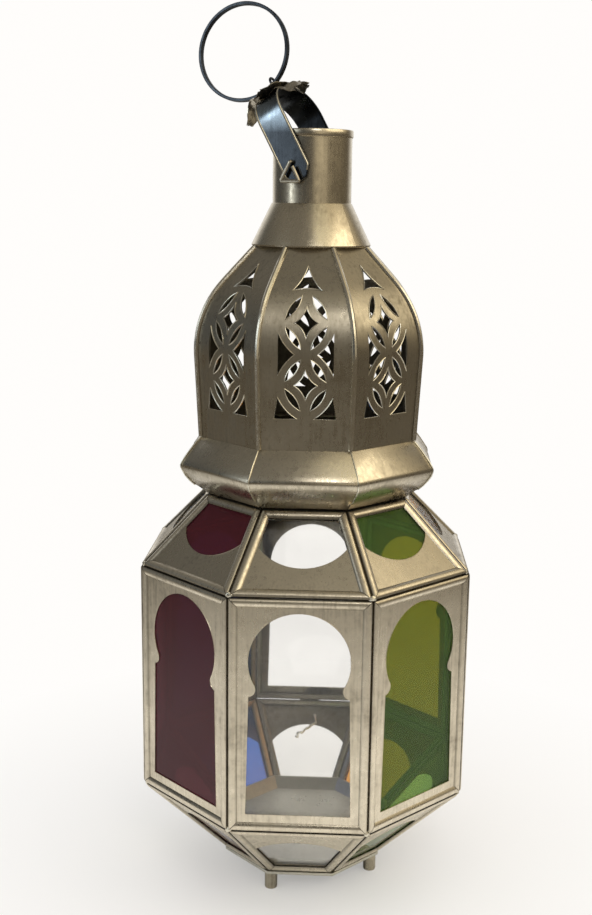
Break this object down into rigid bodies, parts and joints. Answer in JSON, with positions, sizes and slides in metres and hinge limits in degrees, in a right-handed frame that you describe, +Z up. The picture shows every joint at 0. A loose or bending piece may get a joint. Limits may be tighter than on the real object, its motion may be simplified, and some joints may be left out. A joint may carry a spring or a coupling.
{
  "type": "fanous lantern",
  "caption": "Eight-sided glazed tin lantern with arched panes, a pierced dome, an open neck, a swinging bail with a hanging ring, and a rear door with a hasp.",
  "frame": {"origin": "on the ground plane of the feet, under the lantern's axis", "axes": "+Z up the axis, -Y out of the front face, +X to the right of it"},
  "size_m": [0.18, 0.1851, 0.4905],
  "materials": {
    "glass_clear": "smooth cast",
    "glass_green": "smooth cast",
    "glass_amber": "smooth cast",
    "glass_blue": "smooth cast",
    "glass_red": "smooth cast",
    "tin": "aged satin tin plate",
    "dark_tin": "darkened tin plate",
    "wire": "drawn wire"
  },
  "bodies": {
    "lantern": {"bail_cotters": "wire", "body_frame_front": "tin", "body_frame_front_left": "tin", "body_frame_front_right": "tin", "body_frame_left": "tin", "body_frame_rear_left": "tin", "body_frame_rear_right": "tin", "body_frame_right": "tin", "body_glass_clear": "glass_clear", "body_masks": "tin", "collar_mouldings": "tin", "dome_panels": "tin", "dome_ribs": "tin", "feet": "tin", "floor_tray": "tin", "glass_amber": "glass_amber", "glass_blue": "glass_blue", "glass_green": "glass_green", "glass_red": "glass_red", "hinge_leaves_post": "tin", "hinge_pins": "wire", "latch_staple": "wire", "lower_frame_front": "tin", "lower_frame_front_left": "tin", "lower_frame_front_right": "tin", "lower_frame_left": "tin", "lower_frame_rear": "tin", "lower_frame_rear_left": "tin", "lower_frame_rear_right": "tin", "lower_frame_right": "tin", "lower_glass_clear": "glass_clear", "lower_masks": "tin", "neck_cone": "tin", "neck_tube": "tin", "shoulder_frame_front": "tin", "shoulder_frame_front_left": "tin", "shoulder_frame_front_right": "tin", "shoulder_frame_left": "tin", "shoulder_frame_rear": "tin", "shoulder_frame_rear_left": "tin", "shoulder_frame_rear_right": "tin", "shoulder_frame_right": "tin", "shoulder_glass_clear": "glass_clear", "shoulder_masks": "tin"},
    "bail": {"bail_strap": "dark_tin", "rosette": "dark_tin", "ring_eye": "wire"},
    "ring": {"hanging_ring": "dark_tin"},
    "door": {"door_frame": "tin", "door_mask": "tin", "door_glass": "glass_clear", "hinge_leaves_door": "tin", "hasp_bracket": "tin", "hasp_pin": "wire"},
    "hasp": {"latch_hasp": "tin"}
  },
  "joints": [
    {"name": "bail_swing", "type": "hinge", "parent": "lantern", "child": "bail", "pos_m": [0, 0, 0.405], "axis": [0.4226, 0.9063, 0], "range_deg": [-70, 130]},
    {"name": "ring_swing", "type": "hinge", "parent": "bail", "child": "ring", "pos_m": [-0.02198, 0.01025, 0.44702], "axis": [-0.7849, 0.366, -0.5], "range_deg": [-60, 60]},
    {"name": "door_swing", "type": "hinge", "parent": "lantern", "child": "door", "pos_m": [0.03815, 0.0921, 0.1245], "axis": [0, 0, -1], "range_deg": [0, 110]},
    {"name": "hasp_swing", "type": "hinge", "parent": "door", "child": "hasp", "pos_m": [0, 0.0932, 0.06335], "axis": [1, 0, 0], "range_deg": [0, 120]}
  ]
}
